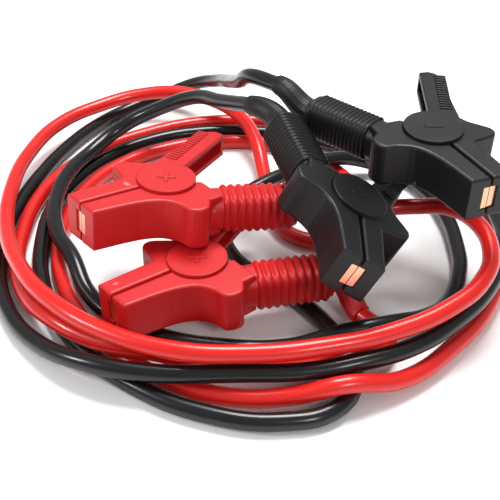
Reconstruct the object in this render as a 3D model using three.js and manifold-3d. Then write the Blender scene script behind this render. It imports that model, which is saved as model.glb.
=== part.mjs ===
// Set of two car jumper cables, one red and one black, coiled as it lies on a level floor.
// Each cable has a fully insulated clamp at both ends. The four clamps lie on the coil.
// Millimetres, +Z up. The origin is on the floor, near the middle of the coil.
import * as THREE from "three";
import { mergeVertices } from "three/addons/utils/BufferGeometryUtils.js";
import Module from "manifold-3d";

const wasm = await Module();
wasm.setup();

// Driving dimensions.
const CLEARANCE = 0.3; // between pieces that touch or run on each other

const CABLE_DIAMETER = 10.5;
const CABLE_SIDES = 8;

const BODY_THICKNESS = 27; // of the moulded halves, across the pivot axis
const EDGE_ROUND = 1.4; // rounding of the moulded edges
const JAW_TIP = 57; // pivot axis to the end of the jaws
const JAW_SLIT = 1.8; // between the two moulded jaws when closed
const JAW_WIDTH = 12.5; // of one moulded jaw at its tip

const DISC_RADIUS = 18; // of the round cheek over the pivot
const DISC_RISE = 2; // of the cheek over the face of the main half
const CHEEK_THICKNESS = 5;
const HUB_RADIUS = 15; // of the main half's core, between the cheeks
const PIN_RADIUS = 3.2;
const PIN_SEAT = 2.4; // depth of the blind hole that holds each pin end

const SPRING_RADIUS = 8.2; // outside, of the wound spring
const SPRING_BORE = 4.4;
const SPRING_HEIGHT = 13;

const GRIP_ANGLE = 23.5; // degrees between the grip and the line of the jaws
const GRIP_START = 13; // pivot axis to the root of the grip, along the jaws' line
const GRIP_OFFSET = 21; // of the grip's middle from the slit line, at its root
const GRIP_LENGTH = 58;
const GRIP_WIDTH = 22;
const GRIP_HEIGHT = 23;
const GRIP_ROUND = 8;

const HANDLE_LENGTH = 75; // pivot axis to the end of the lever's handle
const HANDLE_THICKNESS = 15; // measured down from the upper face
const HANDLE_SHELL = 3; // wall around the hollow on its inner side
const HANDLE_HOLLOW = 6; // depth of that hollow

const COPPER_START = 28; // pivot axis to the inner end of the copper jaws
const COPPER_DEPTH = 4.2; // of a copper jaw, from the bite line outwards
const COPPER_HEIGHT = 14;
const BITE_GAP = 0.5; // between the closed copper jaws
const TOOTH_PITCH = 4;
const TOOTH_RISE = 1.3;

const BOOT_LENGTH = 23; // of the rubber sleeve where the cable leaves the grip
const BOOT_ROOT = 8.6; // its radius at the grip
const BOOT_END = 6.6; // its radius at the cable
const BOOT_SIDES = 14;

const HALF = BODY_THICKNESS / 2;
const DISC_TOP = HALF + DISC_RISE;
const CHEEK_INNER = DISC_TOP - CHEEK_THICKNESS;
const HUB_TOP = CHEEK_INNER - CLEARANCE;
const ROUND_SIDES = 40;

// Materials.
const plastic = (color) => new THREE.MeshStandardMaterial({ color, roughness: 0.5, metalness: 0 });
const metal = (color, roughness) => new THREE.MeshStandardMaterial({ color, roughness, metalness: 1 });
const redShell = plastic(0xd31a1c);
const blackShell = plastic(0x1d1e20);
const redSheath = plastic(0xe8291f);
const blackSheath = plastic(0x18191b);
const copper = metal(0xd98a6a, 0.35);
const steel = metal(0xb9bcc0, 0.35);

// Booleans: a three.js geometry becomes a solid and comes back.
function toSolid(geometry) {
  const plain = geometry.clone();
  plain.deleteAttribute("normal");
  plain.deleteAttribute("uv");
  const merged = mergeVertices(plain, 1e-4);
  return new wasm.Manifold(
    new wasm.Mesh({
      numProp: 3,
      vertProperties: new Float32Array(merged.attributes.position.array),
      triVerts: new Uint32Array(merged.index.array),
    }),
  );
}

function toGeometry(solid) {
  const mesh = solid.getMesh();
  const geometry = new THREE.BufferGeometry();
  geometry.setAttribute("position", new THREE.BufferAttribute(mesh.vertProperties, 3));
  geometry.setIndex(new THREE.BufferAttribute(mesh.triVerts, 1));
  geometry.computeVertexNormals();
  return geometry;
}

function named(name, geometry, material) {
  const mesh = new THREE.Mesh(geometry, material);
  mesh.name = name;
  return mesh;
}

// A block with sharp edges, from its lowest to its highest corner.
function block([x0, y0, z0], [x1, y1, z1]) {
  const box = new THREE.BoxGeometry(x1 - x0, y1 - y0, z1 - z0);
  box.translate((x0 + x1) / 2, (y0 + y1) / 2, (z0 + z1) / 2);
  return toSolid(box);
}

// A round bar about the pivot axis.
function drum(radius, z0, z1, sides = ROUND_SIDES) {
  const cylinder = new THREE.CylinderGeometry(radius, radius, z1 - z0, sides);
  cylinder.rotateX(Math.PI / 2);
  cylinder.translate(0, 0, (z0 + z1) / 2);
  return toSolid(cylinder);
}

// An outline of straight lines and curves, pulled up between two heights with rounded edges.
function plate(outline, z0, z1, round = EDGE_ROUND) {
  const shape = new THREE.Shape(outline);
  const geometry = new THREE.ExtrudeGeometry(shape, {
    depth: z1 - z0 - 2 * round,
    bevelEnabled: round > 0,
    bevelThickness: round,
    bevelSize: round,
    bevelOffset: -round,
    bevelSegments: 2,
  });
  geometry.translate(0, 0, z0 + round);
  return toSolid(geometry);
}

const at = (x, y) => new THREE.Vector2(x, y);

// Points on a smooth curve through the given places, without the last one.
function smooth(places, steps) {
  return new THREE.SplineCurve(places).getPoints(steps).slice(0, -1);
}

const jawEdge = JAW_SLIT / 2;
const jawOuter = jawEdge + JAW_WIDTH;

// Main half: jaw, hump beside the pivot and the start of the grip, seen from above.
function mainOutline() {
  const hollow = [at(38, jawOuter + 0.6), at(24, 16), at(13.5, 20.5), at(7.5, 28.5), at(6, 34)];
  const hump = [at(6, 34), at(4.6, 37.4), at(1, 39.2), at(-3, 39.8), at(-6.5, 38.8), at(-9, 35)];
  return [
    at(0, jawEdge),
    at(JAW_TIP, jawEdge),
    at(JAW_TIP - 1.6, jawOuter - 0.6),
    ...smooth(hollow, 10),
    ...smooth(hump, 8),
    at(-11, 32.5),
    at(-20, 32),
    at(-18, 12),
    at(-8, 4),
  ];
}

const gripDirection = new THREE.Vector3(
  -Math.cos(THREE.MathUtils.degToRad(GRIP_ANGLE)),
  Math.sin(THREE.MathUtils.degToRad(GRIP_ANGLE)),
  0,
);
const gripRoot = new THREE.Vector3(-GRIP_START, GRIP_OFFSET, 0);
const gripEnd = gripRoot.clone().addScaledVector(gripDirection, GRIP_LENGTH);

// The grip: a rounded bar from the body to the sleeve.
function gripSolid() {
  const w = GRIP_WIDTH / 2;
  const h = GRIP_HEIGHT / 2;
  const r = GRIP_ROUND;
  const section = new THREE.Shape();
  section.moveTo(-w + r, -h);
  section.lineTo(w - r, -h);
  section.absarc(w - r, -h + r, r, -Math.PI / 2, 0);
  section.lineTo(w, h - r);
  section.absarc(w - r, h - r, r, 0, Math.PI / 2);
  section.lineTo(-w + r, h);
  section.absarc(-w + r, h - r, r, Math.PI / 2, Math.PI);
  section.lineTo(-w, -h + r);
  section.absarc(-w + r, -h + r, r, Math.PI, 1.5 * Math.PI);
  const round = 2;
  const bar = new THREE.ExtrudeGeometry(section, {
    depth: GRIP_LENGTH - round,
    curveSegments: 4,
    bevelEnabled: true,
    bevelThickness: round,
    bevelSize: round,
    bevelOffset: -round,
    bevelSegments: 2,
  });
  // The section's own axes become the bar's width and height, and its depth the grip's line.
  const side = new THREE.Vector3().crossVectors(new THREE.Vector3(0, 0, 1), gripDirection);
  bar.applyMatrix4(new THREE.Matrix4().makeBasis(side, new THREE.Vector3(0, 0, 1), gripDirection));
  bar.translate(gripRoot.x, gripRoot.y, gripRoot.z);
  return toSolid(bar);
}

// Recess in a moulded jaw for its copper jaw, open at the slit and at the tip.
function copperSeat(side) {
  const reach = COPPER_DEPTH + CLEARANCE;
  const high = COPPER_HEIGHT / 2 + CLEARANCE;
  const y0 = side > 0 ? 0 : -reach;
  return block([COPPER_START - CLEARANCE, y0, -high], [JAW_TIP + 5, y0 + reach, high]);
}

const mainHalf = toGeometry(
  plate(mainOutline(), -HALF, HALF)
    .add(gripSolid())
    .subtract(drum(DISC_RADIUS + CLEARANCE, HUB_TOP, HALF + 1))
    .subtract(drum(DISC_RADIUS + CLEARANCE, -HALF - 1, -HUB_TOP))
    .add(drum(HUB_RADIUS, -HUB_TOP, HUB_TOP))
    .subtract(drum(PIN_RADIUS + CLEARANCE, -HALF, HALF))
    .subtract(drum(SPRING_RADIUS + CLEARANCE, -SPRING_HEIGHT / 2 - CLEARANCE, SPRING_HEIGHT / 2 + CLEARANCE))
    .subtract(copperSeat(1)),
);

// Lever half: jaw, hump and handle, seen from above.
function leverOutline() {
  const turn = THREE.MathUtils.degToRad(32);
  const end = at(-HANDLE_LENGTH * Math.cos(turn), -HANDLE_LENGTH * Math.sin(turn));
  const hump = [at(20.5, -29.5), at(18, -32.4), at(13, -33), at(7, -29.5), at(1, -25.4), at(-5, -23.5)];
  const tip = [at(end.x + 13, end.y - 2.4), at(end.x + 6, end.y - 4), at(end.x + 1, end.y - 1.5), end];
  return [
    at(-14, -7),
    at(-10, -3),
    at(0, -jawEdge),
    at(JAW_TIP, -jawEdge),
    at(JAW_TIP + 1.6, -jawOuter + 0.6),
    at(38, -jawOuter - 0.4),
    at(23, -jawOuter - 1),
    at(21.4, -16),
    ...smooth(hump, 12),
    at(-5, -23.5),
    ...smooth(tip, 8),
    end,
    at(end.x - 1.4, end.y + 5.2),
  ].reverse();
}

// Underside of the handle: everything below it, beyond the body, is cut away.
function handleRelief() {
  const turn = THREE.MathUtils.degToRad(32);
  const far = new THREE.BoxGeometry(HANDLE_LENGTH, 60, BODY_THICKNESS);
  far.translate(-HANDLE_LENGTH / 2 - DISC_RADIUS - 6, 0, HALF - HANDLE_THICKNESS - HALF);
  far.rotateZ(turn);
  return toSolid(far);
}

// The hollow along the inner side of the handle.
function handleHollow() {
  const turn = THREE.MathUtils.degToRad(28.4);
  const z0 = HALF - HANDLE_THICKNESS + HANDLE_SHELL;
  const z1 = HALF - HANDLE_SHELL;
  const length = HANDLE_LENGTH - DISC_RADIUS - 8;
  const groove = new THREE.BoxGeometry(length, 20, z1 - z0);
  groove.translate(-DISC_RADIUS - 4 - length / 2, 10 - HANDLE_HOLLOW, (z0 + z1) / 2);
  groove.rotateZ(turn);
  return toSolid(groove).translate([0.6, 0.3, 0]);
}

const leverHalf = toGeometry(
  plate(leverOutline(), -HALF, HALF)
    .subtract(handleRelief())
    .subtract(handleHollow())
    .subtract(drum(HUB_RADIUS + CLEARANCE, -HALF - 1, HALF + 1))
    .add(drum(DISC_RADIUS, CHEEK_INNER, DISC_TOP))
    .add(drum(DISC_RADIUS, -DISC_TOP, -CHEEK_INNER))
    .subtract(drum(PIN_RADIUS + CLEARANCE, -CHEEK_INNER - PIN_SEAT, CHEEK_INNER + PIN_SEAT))
    .subtract(copperSeat(-1)),
);

// Copper jaw: a bar with rounded teeth that fit between those of the other jaw.
function copperJaw(side) {
  const x0 = COPPER_START;
  const x1 = JAW_TIP - 0.6;
  const back = side * (COPPER_DEPTH);
  const teeth = Math.round(((x1 - x0) / TOOTH_PITCH) * 4);
  const bite = [];
  for (let i = 0; i <= teeth; i++) {
    const x = x0 + ((x1 - x0) * i) / teeth;
    const wave = (TOOTH_RISE / 2) * Math.cos((2 * Math.PI * (x - x0)) / TOOTH_PITCH);
    bite.push(at(x, (side * BITE_GAP) / 2 + wave * 0.5));
  }
  const outline = [...bite, at(x1, back), at(x0, back)];
  if (side < 0) outline.reverse();
  return toGeometry(plate(outline, -COPPER_HEIGHT / 2, COPPER_HEIGHT / 2, 0));
}

const mainCopper = copperJaw(1);
const leverCopper = copperJaw(-1);

// Turned parts: their profile runs from the axis out and back.
function turned(profile, sides) {
  const lathe = new THREE.LatheGeometry(profile.map(([r, y]) => at(r, y)), sides);
  return lathe;
}

const pinLength = 2 * (CHEEK_INNER + PIN_SEAT - CLEARANCE);
const pivotPin = turned(
  [
    [0, -pinLength / 2],
    [PIN_RADIUS - 0.5, -pinLength / 2],
    [PIN_RADIUS, -pinLength / 2 + 0.5],
    [PIN_RADIUS, pinLength / 2 - 0.5],
    [PIN_RADIUS - 0.5, pinLength / 2],
    [0, pinLength / 2],
  ],
  20,
).rotateX(Math.PI / 2);

const springTop = SPRING_HEIGHT / 2;
const coilSpring = turned(
  [
    [SPRING_BORE, -springTop],
    [SPRING_RADIUS, -springTop],
    [SPRING_RADIUS, springTop],
    [SPRING_BORE, springTop],
    [SPRING_BORE, -springTop],
  ],
  20,
).rotateX(Math.PI / 2);

// The clamps' common middle, seen from above, is the origin.
const COIL_SHIFT = [-19.4, 1.8, 0];

// Where each clamp lies: the middle of its pivot, the heading of its jaws seen from above,
// how far its jaws point down, and how far its grip side is lifted, in degrees.
// hand 1 has the grip on the left of the jaws' heading, and hand -1 has it on the right.
const clamps = {
  red_lower: { place: [-31, -43.5, 26.8], heading: -145, dip: 0, lift: 0, hand: 1 },
  red_upper: { place: [-51.5, -5, 57.6], heading: -145, dip: -5, lift: 0, hand: 1 },
  black_lower: { place: [57, -28, 62.4], heading: -92, dip: 2, lift: 27, hand: -1 },
  black_upper: { place: [109, 9, 85], heading: -64, dip: 2, lift: 0, hand: -1 },
};

function clampGroup({ place, heading, dip, lift, hand }) {
  const group = new THREE.Group();
  group.rotation.order = "ZYX";
  group.rotation.z = THREE.MathUtils.degToRad(heading);
  group.rotation.y = THREE.MathUtils.degToRad(dip);
  group.rotation.x = THREE.MathUtils.degToRad(lift * hand);
  group.position.set(...place);
  group.scale.y = hand;
  group.updateMatrixWorld(true);
  return group;
}

// Cable routes, from the upper clamp of each colour to the lower one.
const routes = {
  red: [
    [50, 3, 47], [67, 9, 42], [84, 15, 37.5], [105, 16, 38], [126, 7, 43], [140, -13, 44],
    [143, -37, 41], [134, -60, 38], [112, -80, 34], [80, -96, 31], [42, -107, 30], [0, -112, 29],
    [-42, -109, 29], [-82, -93, 29], [-117, -64, 28], [-144, -22, 22], [-161, 22, 17],
    [-168, 70, 17], [-165, 120, 17], [-149, 162, 19], [-120, 191, 20], [-88, 204, 23],
    [-56, 203, 25], [-29, 190, 24], [-8, 167, 22], [4, 138, 18], [10, 105, 9], [13, 74, 5.6],
    [18, 46, 5.6], [38, 24, 5.6], [66, 27, 5.6], [82, 52, 5.6], [77, 86, 5.6], [61, 117, 5.6],
    [38, 141, 5.6], [8, 154, 5.6], [-28, 156, 5.6], [-66, 145, 5.6], [-98, 121, 5.6],
    [-119, 87, 5.6], [-127, 50, 5.6], [-126, 12, 5.6], [-117, -24, 5.6], [-100, -58, 5.6],
    [-74, -88, 5.6], [-44, -109, 5.6], [-12, -121, 5.6], [22, -124, 9], [51, -123, 17],
    [84, -111, 9], [118, -82, 8], [144, -48, 8], [161, -5, 9], [166, 44, 7], [156, 92, 6],
    [128, 134, 5.6], [82, 164, 5.6], [42, 182, 5.6], [0, 190, 5.6], [-42, 187, 5.6],
    [-80, 171, 5.6], [-114, 146, 5.6], [-138, 112, 5.6], [-151, 75, 5.6], [-154, 37, 5.6],
    [-151, 0, 6], [-138, -38, 10], [-118, -67, 17], [-88, -88, 17], [-52, -98, 17],
    [-14, -103, 9], [28, -103, 9], [57, -98, 17], [77, -88, 8], [79, -70, 5.8], [67, -55, 7],
  ],
  black: [
    [19, 70, 97], [1, 94, 92], [-7, 122, 75], [-15, 156, 58], [-26, 190, 42], [-46, 215, 27],
    [-72, 225, 12], [-100, 213, 5.6], [-124, 184, 5.6], [-143, 147, 5.6], [-156, 107, 5.6],
    [-164, 68, 5.6], [-166, 30, 5.6], [-162, -8, 5.6], [-148, -46, 5.6], [-124, -80, 9],
    [-90, -105, 16], [-50, -115, 17.5], [-8, -115, 17.5], [32, -114, 18], [60, -109, 20],
    [90, -97, 20], [118, -76, 21], [142, -48, 22], [158, -12, 23], [165, 28, 20], [158, 70, 18.5],
    [136, 102, 14], [108, 128, 6], [72, 147, 5.6], [38, 164, 5.6], [-2, 172, 5.6], [-42, 171, 5.6],
    [-78, 158, 5.6], [-108, 133, 5.6], [-129, 99, 5.6], [-139, 62, 5.6], [-139, 22, 5.6],
    [-132, -18, 5.6], [-117, -54, 5.6], [-94, -86, 5.6], [-62, -114, 5.6], [-24, -133, 5.6],
    [16, -139, 5.6], [46, -130, 5.6], [58, -107, 5.6], [54, -84, 5.6], [47, -65, 5.6],
    [36, -47, 5.6], [22, -31, 5.6], [4, -14, 5.6], [-12, 8, 5.6], [-17, 34, 6], [-8, 58, 14],
    [12, 77, 18], [34, 94, 17.5], [60, 110, 17.5], [86, 116, 12], [110, 106, 7], [126, 84, 7],
    [135, 54, 7], [137, 20, 7], [133, -14, 7], [120, -44, 6.5], [104, -61, 11], [82, -74, 17.5],
    [54, -82, 17.5], [22, -84, 8], [-18, -81, 5.6], [-50, -73, 5.6], [-78, -58, 6],
    [-99, -37, 9], [-112, -11, 17], [-127, 18, 17], [-134, 55, 17], [-131, 92, 17],
    [-118, 124, 17], [-97, 144, 26], [-68, 143, 42], [-40, 126, 60], [-20, 96, 72], [1, 63, 86],
  ],
};

// A curve that gives one section of cable at each of its own points.
class Route extends THREE.CatmullRomCurve3 {
  constructor(points) {
    super(points, false, "centripetal");
  }
  getUtoTmapping(u) {
    return u;
  }
}

function cableGeometry(points) {
  const section = new THREE.Shape();
  for (let i = 0; i < CABLE_SIDES; i++) {
    const turn = (2 * Math.PI * (i + 0.5)) / CABLE_SIDES;
    const x = (CABLE_DIAMETER / 2) * Math.cos(turn);
    const y = (CABLE_DIAMETER / 2) * Math.sin(turn);
    if (i === 0) section.moveTo(x, y);
    else section.lineTo(x, y);
  }
  section.closePath();
  const path = new Route(points.map((p) => new THREE.Vector3(...p)));
  return new THREE.ExtrudeGeometry(section, {
    steps: points.length - 1,
    extrudePath: path,
    bevelEnabled: false,
  });
}

// Rubber sleeve: turned with a collar and a taper, then bent from the grip's line to the cable's.
function bootGeometry(from, direction, first, second) {
  const start = from.clone().addScaledVector(direction, CLEARANCE);
  const leave = second.clone().sub(first).normalize();
  const end = first.clone().addScaledVector(leave, -CLEARANCE);
  const pull = start.distanceTo(end) * 0.4;
  const bend = new THREE.CubicBezierCurve3(
    start,
    start.clone().addScaledVector(direction, pull),
    end.clone().addScaledVector(leave, -pull),
    end,
  );
  const rings = 12;
  const profile = [[0, 0]];
  for (let i = 0; i <= rings; i++) {
    const t = i / rings;
    profile.push([BOOT_ROOT + (BOOT_END - BOOT_ROOT) * t, t]);
  }
  profile.push([0, 1]);
  const sleeve = turned(profile, BOOT_SIDES);
  const frames = bend.computeFrenetFrames(rings, false);
  const points = bend.getSpacedPoints(rings);
  const place = sleeve.attributes.position;
  const vertex = new THREE.Vector3();
  for (let i = 0; i < place.count; i++) {
    vertex.fromBufferAttribute(place, i);
    const ring = Math.round(vertex.y * rings);
    const bent = points[ring]
      .clone()
      .addScaledVector(frames.normals[ring], vertex.x)
      .addScaledVector(frames.binormals[ring], -vertex.z);
    place.setXYZ(i, bent.x, bent.y, bent.z);
  }
  return sleeve;
}

const set = new THREE.Group();
set.name = "jumper_cable_set";
const coil = new THREE.Group();
coil.position.set(...COIL_SHIFT);
set.add(coil);

for (const [name, layout] of Object.entries(clamps)) {
  const isRed = name.startsWith("red");
  const shell = isRed ? redShell : blackShell;
  const group = clampGroup(layout);
  group.add(
    named(`${name}_main_half`, mainHalf, shell),
    named(`${name}_lever_half`, leverHalf, shell),
    named(`${name}_main_copper`, mainCopper, copper),
    named(`${name}_lever_copper`, leverCopper, copper),
    named(`${name}_pivot_pin`, pivotPin, steel),
    named(`${name}_spring`, coilSpring, steel),
  );
  const route = routes[isRed ? "red" : "black"];
  const upper = name.endsWith("upper");
  const ends = upper ? route.slice(0, 2) : route.slice(-2).reverse();
  const [first, second] = ends.map((p) => new THREE.Vector3(...p));
  const from = gripEnd.clone().applyMatrix4(group.matrixWorld);
  const direction = gripDirection.clone().transformDirection(group.matrixWorld);
  coil.add(named(`${name}_boot`, bootGeometry(from, direction, first, second), shell));
  coil.add(group);
}

coil.add(named("red_cable", cableGeometry(routes.red), redSheath));
coil.add(named("black_cable", cableGeometry(routes.black), blackSheath));

export default set;
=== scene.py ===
"""Coiled car jumper cable set: two glossy cables and four insulated clamps, on a level floor."""
import math

import bpy
from mathutils import Matrix, Vector


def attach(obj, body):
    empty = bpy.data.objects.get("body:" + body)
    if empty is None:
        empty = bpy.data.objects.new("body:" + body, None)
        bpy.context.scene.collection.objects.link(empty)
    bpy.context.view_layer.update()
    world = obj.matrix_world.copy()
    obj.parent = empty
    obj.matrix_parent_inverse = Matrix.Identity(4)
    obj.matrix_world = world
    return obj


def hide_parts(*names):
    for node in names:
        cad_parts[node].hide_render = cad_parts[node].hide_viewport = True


MM = 0.001
SHIFT = Vector((-19.4, 1.8, 0)) * MM
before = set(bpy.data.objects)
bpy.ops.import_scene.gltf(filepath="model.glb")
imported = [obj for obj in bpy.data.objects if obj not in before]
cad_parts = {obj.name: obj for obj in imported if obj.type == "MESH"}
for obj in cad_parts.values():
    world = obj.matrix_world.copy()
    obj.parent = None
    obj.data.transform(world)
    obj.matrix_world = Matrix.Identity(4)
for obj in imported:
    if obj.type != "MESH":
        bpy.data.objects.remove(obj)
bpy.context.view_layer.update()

camera_data = bpy.data.cameras.new("camera")
camera_data.lens = 64.8
camera = bpy.data.objects.new("camera", camera_data)
bpy.context.scene.collection.objects.link(camera)
camera.location = SHIFT + Vector((0, -0.4655, 0.360))
camera.rotation_euler = (math.radians(53.46), 0, 0)
bpy.context.scene.camera = camera

# Middle line of each cable in mm, from its upper clamp to its lower one.
ROUTES = {
    "red": [
        [50, 3, 47], [67, 9, 42], [84, 15, 37.5], [105, 16, 38], [126, 7, 43], [140, -13, 44],
        [143, -37, 41], [134, -60, 38], [112, -80, 34], [80, -96, 31], [42, -107, 30], [0, -112, 29],
        [-42, -109, 29], [-82, -93, 29], [-117, -64, 28], [-144, -22, 22], [-161, 22, 17],
        [-168, 70, 17], [-165, 120, 17], [-149, 162, 19], [-120, 191, 20], [-88, 204, 23],
        [-56, 203, 25], [-29, 190, 24], [-8, 167, 22], [4, 138, 18], [10, 105, 9], [13, 74, 5.6],
        [18, 46, 5.6], [38, 24, 5.6], [66, 27, 5.6], [82, 52, 5.6], [77, 86, 5.6], [61, 117, 5.6],
        [38, 141, 5.6], [8, 154, 5.6], [-28, 156, 5.6], [-66, 145, 5.6], [-98, 121, 5.6],
        [-119, 87, 5.6], [-127, 50, 5.6], [-126, 12, 5.6], [-117, -24, 5.6], [-100, -58, 5.6],
        [-74, -88, 5.6], [-44, -109, 5.6], [-12, -121, 5.6], [22, -124, 9], [51, -123, 17],
        [84, -111, 9], [118, -82, 8], [144, -48, 8], [161, -5, 9], [166, 44, 7], [156, 92, 6],
        [128, 134, 5.6], [82, 164, 5.6], [42, 182, 5.6], [0, 190, 5.6], [-42, 187, 5.6],
        [-80, 171, 5.6], [-114, 146, 5.6], [-138, 112, 5.6], [-151, 75, 5.6], [-154, 37, 5.6],
        [-151, 0, 6], [-138, -38, 10], [-118, -67, 17], [-88, -88, 17], [-52, -98, 17],
        [-14, -103, 9], [28, -103, 9], [57, -98, 17], [77, -88, 8], [79, -70, 5.8], [67, -55, 7],
  ],
    "black": [
        [19, 70, 97], [1, 94, 92], [-7, 122, 75], [-15, 156, 58], [-26, 190, 42], [-46, 215, 27],
        [-72, 225, 12], [-100, 213, 5.6], [-124, 184, 5.6], [-143, 147, 5.6], [-156, 107, 5.6],
        [-164, 68, 5.6], [-166, 30, 5.6], [-162, -8, 5.6], [-148, -46, 5.6], [-124, -80, 9],
        [-90, -105, 16], [-50, -115, 17.5], [-8, -115, 17.5], [32, -114, 18], [60, -109, 20],
        [90, -97, 20], [118, -76, 21], [142, -48, 22], [158, -12, 23], [165, 28, 20], [158, 70, 18.5],
        [136, 102, 14], [108, 128, 6], [72, 147, 5.6], [38, 164, 5.6], [-2, 172, 5.6], [-42, 171, 5.6],
        [-78, 158, 5.6], [-108, 133, 5.6], [-129, 99, 5.6], [-139, 62, 5.6], [-139, 22, 5.6],
        [-132, -18, 5.6], [-117, -54, 5.6], [-94, -86, 5.6], [-62, -114, 5.6], [-24, -133, 5.6],
        [16, -139, 5.6], [46, -130, 5.6], [58, -107, 5.6], [54, -84, 5.6], [47, -65, 5.6],
        [36, -47, 5.6], [22, -31, 5.6], [4, -14, 5.6], [-12, 8, 5.6], [-17, 34, 6], [-8, 58, 14],
        [12, 77, 18], [34, 94, 17.5], [60, 110, 17.5], [86, 116, 12], [110, 106, 7], [126, 84, 7],
        [135, 54, 7], [137, 20, 7], [133, -14, 7], [120, -44, 6.5], [104, -61, 11], [82, -74, 17.5],
        [54, -82, 17.5], [22, -84, 8], [-18, -81, 5.6], [-50, -73, 5.6], [-78, -58, 6],
        [-99, -37, 9], [-112, -11, 17], [-127, 18, 17], [-134, 55, 17], [-131, 92, 17],
        [-118, 124, 17], [-97, 144, 26], [-68, 143, 42], [-40, 126, 60], [-20, 96, 72], [1, 63, 86],
  ],
}


def material(
    name,
    color,
    roughness,
    metallic=0.0,
    grain=0.0,
    round_edge=0.0,
    coat=0.0,
    specular=0.5,
    scuffs=0.0,
):
    """A plain finish with fine grain on the object's own coordinates and softly rounded edges."""
    made = bpy.data.materials.new(name)
    made.use_nodes = True
    nodes = made.node_tree.nodes
    link = made.node_tree.links.new
    shader = nodes["Principled BSDF"]
    shader.inputs["Base Color"].default_value = (*color, 1)
    shader.inputs["Metallic"].default_value = metallic
    shader.inputs["Coat Weight"].default_value = coat
    shader.inputs["Coat Roughness"].default_value = 0.12
    shader.inputs["Specular IOR Level"].default_value = specular
    place = nodes.new("ShaderNodeTexCoord")
    blotch = nodes.new("ShaderNodeTexNoise")
    blotch.inputs["Scale"].default_value = 45
    spread = nodes.new("ShaderNodeMapRange")
    spread.inputs["To Min"].default_value = roughness - 0.07
    spread.inputs["To Max"].default_value = roughness + 0.09
    link(place.outputs["Object"], blotch.inputs["Vector"])
    link(blotch.outputs["Fac"], spread.inputs["Value"])
    link(spread.outputs["Result"], shader.inputs["Roughness"])
    fine = nodes.new("ShaderNodeTexNoise")
    fine.inputs["Scale"].default_value = 1400
    link(place.outputs["Object"], fine.inputs["Vector"])
    bump = nodes.new("ShaderNodeBump")
    bump.inputs["Strength"].default_value = grain
    bump.inputs["Distance"].default_value = 0.0002
    link(fine.outputs["Fac"], bump.inputs["Height"])
    if round_edge:
        edge = nodes.new("ShaderNodeBevel")
        edge.samples = 6
        edge.inputs["Radius"].default_value = round_edge
        link(edge.outputs["Normal"], bump.inputs["Normal"])
    link(bump.outputs["Normal"], shader.inputs["Normal"])
    if scuffs:
        # Pale rubbed spots, kept to the places where a broad pattern peaks.
        broad = nodes.new("ShaderNodeTexNoise")
        broad.inputs["Scale"].default_value = 70
        broad.inputs["Detail"].default_value = 6
        link(place.outputs["Object"], broad.inputs["Vector"])
        pick = nodes.new("ShaderNodeMapRange")
        pick.inputs["From Min"].default_value = 0.69
        pick.inputs["From Max"].default_value = 0.76
        pick.inputs["To Max"].default_value = scuffs
        link(broad.outputs["Fac"], pick.inputs["Value"])
        mix = nodes.new("ShaderNodeMix")
        mix.data_type = "RGBA"
        mix.inputs["A"].default_value = (*color, 1)
        mix.inputs["B"].default_value = (0.75, 0.62, 0.6, 1)
        link(pick.outputs["Result"], mix.inputs["Factor"])
        link(mix.outputs["Result"], shader.inputs["Base Color"])
    return made


FINISH = {
    "red_shell": material(
        "red_shell",
        (0.5, 0.008, 0.01), 0.42, grain=0.25, round_edge=0.0011, specular=0.4, scuffs=0.35,
    ),
    "black_shell": material(
        "black_shell",
        (0.006, 0.006, 0.007), 0.4, grain=0.3, round_edge=0.0011, specular=0.35, scuffs=0.2,
    ),
    "red_rubber": material("red_rubber", (0.48, 0.009, 0.01), 0.42, grain=0.15, round_edge=0.0008),
    "black_rubber": material(
        "black_rubber",
        (0.006, 0.006, 0.007), 0.42, grain=0.15, round_edge=0.0008, specular=0.3,
    ),
    "copper": material("copper", (0.86, 0.46, 0.3), 0.3, metallic=1, grain=0.1),
    "steel": material("steel", (0.6, 0.61, 0.62), 0.3, metallic=1),
    "red_sheath": material(
        "red_sheath",
        (0.62, 0.011, 0.008), 0.3, grain=0.05, coat=0.3, specular=0.35,
    ),
    "black_sheath": material(
        "black_sheath",
        (0.005, 0.005, 0.006), 0.27, grain=0.05, coat=0.25, specular=0.3,
    ),
}


def dress(obj, name):
    obj.data.materials.clear()
    obj.data.materials.append(FINISH[name])


for colour, route in ROUTES.items():
    points = [SHIFT + Vector(p) * MM for p in route]
    line = bpy.data.curves.new(colour + "_sheath", "CURVE")
    line.dimensions = "3D"
    line.bevel_depth = 5.25 * MM
    line.bevel_resolution = 7
    line.resolution_u = 8
    line.use_fill_caps = True
    spline = line.splines.new("BEZIER")
    spline.bezier_points.add(len(points) - 1)
    for knot, point in zip(spline.bezier_points, points):
        knot.co = point
        knot.handle_left_type = knot.handle_right_type = "AUTO"
    cable = bpy.data.objects.new(colour + "_sheath", line)
    bpy.context.scene.collection.objects.link(cable)
    dress(cable, colour + "_sheath")
    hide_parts(colour + "_cable")
    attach(cable, "coil")

# Middle of the pivot in mm, heading, dip and lift in degrees, and the hand of each clamp.
CLAMPS = {
    "red_lower": ((-31, -43.5, 26.8), -145, 0, 0, 1),
    "red_upper": ((-51.5, -5, 57.6), -145, -5, 0, 1),
    "black_lower": ((57, -28, 62.4), -92, 2, 27, -1),
    "black_upper": ((109, 9, 85), -64, 2, 0, -1),
}
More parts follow.
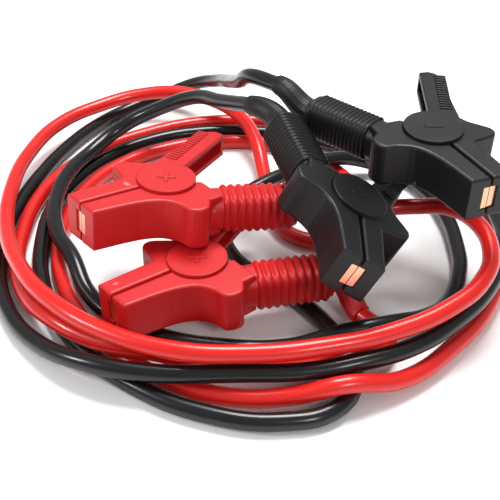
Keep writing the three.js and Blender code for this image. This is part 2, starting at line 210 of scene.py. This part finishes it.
# Lines of the grip and the handle from the jaws' line, and the grip's sizes in mm.
GRIP_TURN = math.radians(156.5)
HANDLE_TURN = math.radians(212)
GRIP_ROOT = (-13, 21, 0)
GRIP_HALF_WIDTH = 11
GRIP_HALF_HEIGHT = 11.5
RIBS_START = 11
RIBBED_LENGTH = 44
STEPS_PER_RIB = 8
AROUND = 40
END_TUCK = 0.6  # of the skin's ends into the grip
FACE_TOP = 13.3  # where the handle bars stand
CHEEK_TOP = 15.4  # where the sign stands
BAR_COUNT = 15
BAR_PITCH = 3


def clamp_matrix(place, heading, dip, lift, hand):
    turn = Matrix.Rotation(math.radians(heading), 4, "Z")
    turn = turn @ Matrix.Rotation(math.radians(dip), 4, "Y")
    turn = turn @ Matrix.Rotation(math.radians(lift * hand), 4, "X")
    mirror = Matrix.Diagonal((MM, MM * hand, MM, 1))
    return Matrix.Translation(SHIFT + Vector(place) * MM) @ turn @ mirror


def solid(name, verts, faces, matrix, finish, body):
    """A closed mesh in clamp millimetres, set in place with its faces outwards."""
    mesh = bpy.data.meshes.new(name)
    mesh.from_pydata([matrix @ Vector(v) for v in verts], [], faces)
    obj = bpy.data.objects.new(name, mesh)
    bpy.context.scene.collection.objects.link(obj)
    bpy.ops.object.select_all(action="DESELECT")
    bpy.context.view_layer.objects.active = obj
    obj.select_set(True)
    bpy.ops.object.mode_set(mode="EDIT")
    bpy.ops.mesh.select_all(action="SELECT")
    bpy.ops.mesh.normals_make_consistent(inside=False)
    bpy.ops.object.mode_set(mode="OBJECT")
    bpy.ops.object.shade_auto_smooth(angle=math.radians(50))
    dress(obj, finish)
    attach(obj, body)
    return obj


def grip_skin(pitch, height):
    """The ribbed skin of a grip: rounded sections along its line, swelling at each rib."""
    along = Vector((math.cos(GRIP_TURN), math.sin(GRIP_TURN), 0))
    side = Vector((-along.y, along.x, 0))
    verts, faces = [], []
    steps = round(RIBBED_LENGTH / pitch) * STEPS_PER_RIB
    for i in range(steps + 1):
        s = RIBS_START + RIBBED_LENGTH * i / steps
        swell = 0.15 + height * (0.5 - 0.5 * math.cos(2 * math.pi * i / STEPS_PER_RIB)) ** 0.7
        swell = -END_TUCK if i in (0, steps) else swell
        for k in range(AROUND):
            turn = 2 * math.pi * k / AROUND
            c, n = math.cos(turn), math.sin(turn)
            w = (abs(c) ** 0.55) * math.copysign(GRIP_HALF_WIDTH + swell, c)
            h = (abs(n) ** 0.55) * math.copysign(GRIP_HALF_HEIGHT + swell, n)
            verts.append(Vector(GRIP_ROOT) + along * s + side * w + Vector((0, 0, h)))
    for i in range(steps):
        for k in range(AROUND):
            m = (k + 1) % AROUND
            near, far = i * AROUND, (i + 1) * AROUND
            faces.append((near + k, near + m, far + m, far + k))
    faces.append(tuple(range(AROUND)))
    faces.append(tuple(range(steps * AROUND, (steps + 1) * AROUND)))
    return verts, faces


def bar(centre, turn, size, chamfer):
    """A small raised bar with sloping sides, standing on the face below it."""
    verts = []
    for z, inset in ((0, 0), (size[2] - chamfer, 0), (size[2], chamfer)):
        for x, y in ((-1, -1), (1, -1), (1, 1), (-1, 1)):
            px, py = x * (size[0] / 2 - inset), y * (size[1] / 2 - inset)
            verts.append(Vector(centre) + Matrix.Rotation(turn, 3, "Z") @ Vector((px, py, z)))
    faces = [(0, 1, 2, 3), (8, 9, 10, 11)]
    for ring in (0, 4):
        faces += [(ring + k, ring + (k + 1) % 4, ring + 4 + (k + 1) % 4, ring + 4 + k) for k in range(4)]
    return verts, faces


def joined(parts):
    verts, faces = [], []
    for some, more in parts:
        faces += [tuple(k + len(verts) for k in face) for face in more]
        verts += some
    return verts, faces


for name, (place, heading, dip, lift, hand) in CLAMPS.items():
    matrix = clamp_matrix(place, heading, dip, lift, hand)
    colour = name.split("_")[0]
    red = colour == "red"
    pitch, height = (4.9, 1.3) if red else (2.9, 0.9)
    solid(name + "_grip_ribs", *grip_skin(pitch, height), matrix, colour + "_shell", "coil")
    lever = name + "_lever"
    out = Vector((math.cos(HANDLE_TURN), math.sin(HANDLE_TURN), 0))
    beside = Vector((-out.y, out.x, 0))
    bars = []
    for i in range(BAR_COUNT):
        centre = out * (26 + BAR_PITCH * i) + beside * (9.5 - 0.12 * i) + Vector((0, 0, FACE_TOP))
        bars.append(bar(centre, HANDLE_TURN, (1.5, 7.5, 1.1), 0.35))
    solid(name + "_handle_bars", *joined(bars), matrix, colour + "_shell", lever)
    lean = math.radians(-heading)
    sign = [bar((0, 0, CHEEK_TOP), lean * hand, (11, 2.6, 0.7), 0.2)]
    if red:
        sign.append(bar((0, 0, CHEEK_TOP - 0.05), lean * hand + math.pi / 2, (11, 2.6, 0.7), 0.2))
    for k, piece in enumerate(sign):
        solid(f"{name}_sign_{k}", *piece, matrix, colour + "_shell", lever)

# The finish of each frame piece by the last word of its name. The cables are drawn above.
COLOURED = {"half": "shell", "boot": "rubber"}
BARE = {"copper": "copper", "pin": "steel", "spring": "steel"}
for name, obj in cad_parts.items():
    ending = name.split("_")[-1]
    if ending in COLOURED:
        dress(obj, name.split("_")[0] + "_" + COLOURED[ending])
    elif ending in BARE:
        dress(obj, BARE[ending])

floor_mesh = bpy.data.meshes.new("floor")
floor_mesh.from_pydata([(-4, -4, 0), (4, -4, 0), (4, 4, 0), (-4, 4, 0)], [], [(0, 1, 2, 3)])
floor = bpy.data.objects.new("floor", floor_mesh)
bpy.context.scene.collection.objects.link(floor)
paper = bpy.data.materials.new("paper")
paper.use_nodes = True
paper.node_tree.nodes["Principled BSDF"].inputs["Base Color"].default_value = (0.9, 0.9, 0.9, 1)
paper.node_tree.nodes["Principled BSDF"].inputs["Roughness"].default_value = 0.8
floor_mesh.materials.append(paper)


def lamp(name, place, size, power):
    light = bpy.data.lights.new(name, "AREA")
    light.size = size
    light.energy = power
    obj = bpy.data.objects.new(name, light)
    obj.location = place
    obj.rotation_euler = (Vector((0, 0, 0)) - Vector(place)).to_track_quat("-Z", "Y").to_euler()
    bpy.context.scene.collection.objects.link(obj)


lamp("over", (0.1, 0.5, 1.4), 0.6, 26)
lamp("left", (-1.3, -0.3, 0.9), 0.35, 10)
lamp("front", (0.6, -1.2, 1.0), 0.35, 7)
world = bpy.data.worlds.new("world")
bpy.context.scene.world = world
world.use_nodes = True
world.node_tree.nodes["Background"].inputs["Color"].default_value = (1, 1, 1, 1)
world.node_tree.nodes["Background"].inputs["Strength"].default_value = 0.45
bpy.context.scene.view_settings.view_transform = "Standard"
